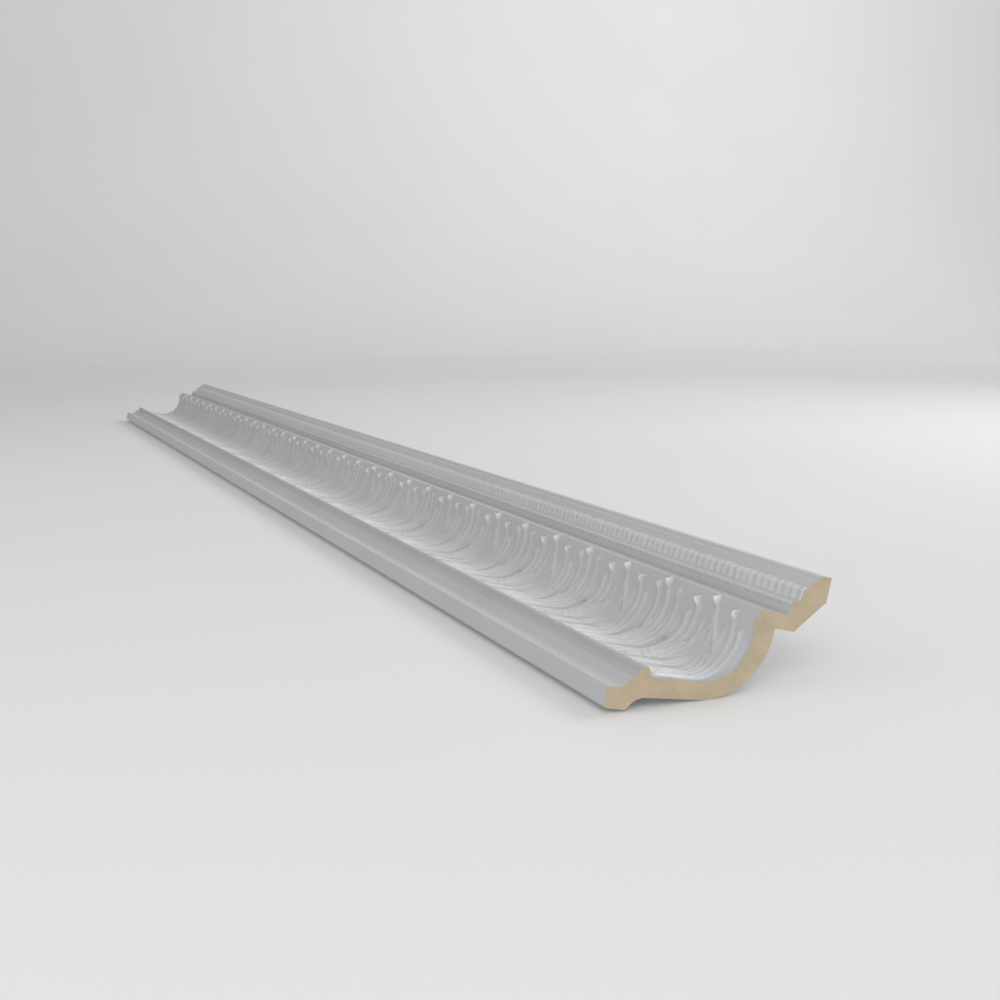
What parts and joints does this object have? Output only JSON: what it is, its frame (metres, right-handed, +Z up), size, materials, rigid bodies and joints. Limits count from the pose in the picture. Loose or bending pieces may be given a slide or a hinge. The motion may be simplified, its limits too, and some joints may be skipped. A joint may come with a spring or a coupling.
{
  "type": "crown moulding",
  "caption": "Straight length of crown moulding for the corner of a wall and a ceiling, with a leaf-carved cove, a reeded band and square-cut ends.",
  "frame": {"origin": "middle of the narrow strip at the foot of the moulding that is glued to the wall", "axes": "+Z up the wall, +Y into the wall, so the carved face looks towards -Y, and +X along the length towards the cut end nearest in the picture"},
  "size_m": [2.4, 0.1188, 0.1718],
  "materials": {
    "primed_foam": "matt"
  },
  "bodies": {
    "root": {"crown_moulding": "primed_foam"}
  },
  "joints": []
}
